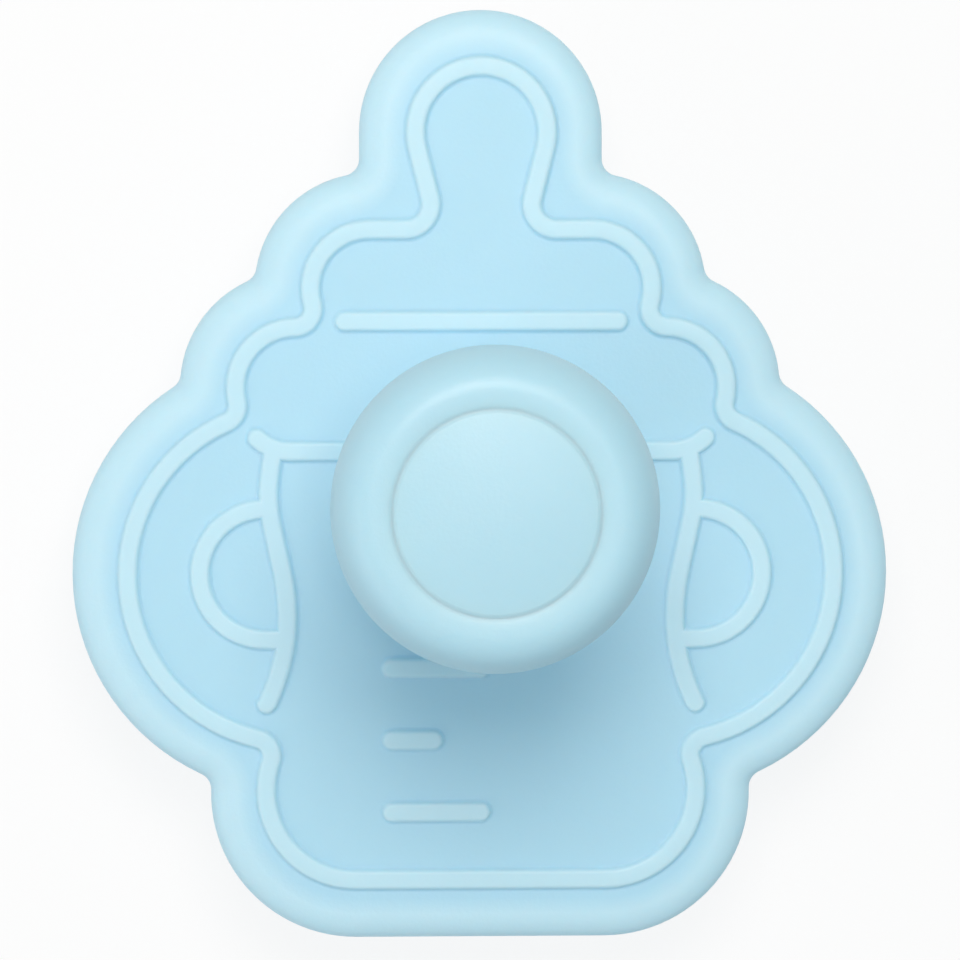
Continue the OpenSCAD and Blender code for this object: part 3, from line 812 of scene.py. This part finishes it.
# Floor, light and camera
def directly_seen(tree):
    """1 where the camera sees the place itself, in a mirror or through glass, else 0."""
    rays = tree.nodes.new("ShaderNodeLightPath")
    seen = rays.outputs["Is Camera Ray"]
    for kind in ("Is Glossy Ray", "Is Transmission Ray"):
        either = tree.nodes.new("ShaderNodeMath")
        either.operation = "MAXIMUM"
        tree.links.new(seen, either.inputs[0])
        tree.links.new(rays.outputs[kind], either.inputs[1])
        seen = either.outputs[0]
    return seen


def mixed(tree, share, first, second):
    """The first shader where the share is 0, the second where it is 1."""
    mix = tree.nodes.new("ShaderNodeMixShader")
    for socket, source in zip(mix.inputs, (share, first, second)):
        tree.links.new(source, socket)
    return mix.outputs[0]


def make_floor():
    deselect()
    bpy.ops.mesh.primitive_plane_add(size=6, location=(0, 0, 0))
    floor = named("floor")
    material = bpy.data.materials.new("floor_white")
    material.use_nodes = True
    tree = material.node_tree
    tree.nodes.remove(tree.nodes["Principled BSDF"])
    paint = tree.nodes.new("ShaderNodeBsdfDiffuse")
    set_inputs(paint, {"Color": (0.95, 0.95, 0.95, 1)})
    glow = tree.nodes.new("ShaderNodeEmission")
    set_inputs(glow, {"Color": (1, 1, 1, 1)})
    # The rest of what is seen is the paint, which shows the cutter's shadow
    glow_share = 0.85
    share = tree.nodes.new("ShaderNodeMath")
    share.operation = "MULTIPLY"
    tree.links.new(directly_seen(tree), share.inputs[0])
    share.inputs[1].default_value = glow_share
    white = mixed(tree, share.outputs[0], paint.outputs[0], glow.outputs[0])
    # Seen from below, the floor is clear, so that the cutter's underside shows
    facing = tree.nodes.new("ShaderNodeNewGeometry")
    clear = tree.nodes.new("ShaderNodeBsdfTransparent")
    surface = mixed(tree, facing.outputs["Backfacing"], white, clear.outputs[0])
    tree.links.new(surface, tree.nodes["Material Output"].inputs["Surface"])
    floor.data.materials.append(material)


def make_world():
    world = bpy.data.worlds.new("studio")
    bpy.context.scene.world = world
    world.use_nodes = True
    tree = world.node_tree
    light = tree.nodes["Background"]
    set_inputs(light, {"Color": (0.68, 0.92, 1.0, 1), "Strength": 0.43})
    white = tree.nodes.new("ShaderNodeBackground")
    set_inputs(white, {"Color": (1, 1, 1, 1)})
    shown = mixed(tree, directly_seen(tree), light.outputs[0], white.outputs[0])
    tree.links.new(shown, tree.nodes["World Output"].inputs["Surface"])


def soft_lamp(name, place_m, size, power, colour):
    """Square lamp that is aimed at the deck."""
    light = bpy.data.lights.new(name, "AREA")
    light.shape = "SQUARE"
    light.size = size
    light.energy = power
    light.color = colour
    lamp = bpy.data.objects.new(name, light)
    lamp.visible_camera = False
    bpy.context.scene.collection.objects.link(lamp)
    lamp.location = place_m
    lamp.rotation_mode = "QUATERNION"
    aim = Vector((0, 0, 0.015)) - Vector(place_m)
    lamp.rotation_quaternion = aim.to_track_quat("-Z", "Y")


def make_camera():
    """Looks down on the deck from 360 mm over it, from the teat's side."""
    place_m = Vector((-12.6, 28.3, DECK_TOP + 360)) * MM
    aim = Vector((-0.09, -0.15, DECK_TOP)) * MM
    data = bpy.data.cameras.new("view")
    data.sensor_width = 36
    data.lens = 179.5
    camera = bpy.data.objects.new("view", data)
    bpy.context.scene.collection.objects.link(camera)
    back = (place_m - aim).normalized()
    right = Vector((0, 1, 0)).cross(back).normalized()
    up = back.cross(right)
    turn = Matrix((right, up, back)).transposed().to_4x4()
    camera.matrix_world = Matrix.Translation(place_m) @ turn
    bpy.context.scene.camera = camera


WARM, ROSY = (1.0, 0.86, 0.775), (1.0, 0.81, 0.79)
make_floor()
make_world()
soft_lamp("key", (0.0, 0.105, 0.29), size=0.12, power=0.5, colour=WARM)
soft_lamp("fill", (-0.2, -0.12, 0.18), size=0.2, power=0.15, colour=ROSY)
soft_lamp("high", (0.015, 0.029, 0.49), size=0.04, power=0.13, colour=WARM)
make_camera()
bpy.context.scene.view_settings.view_transform = "Standard"
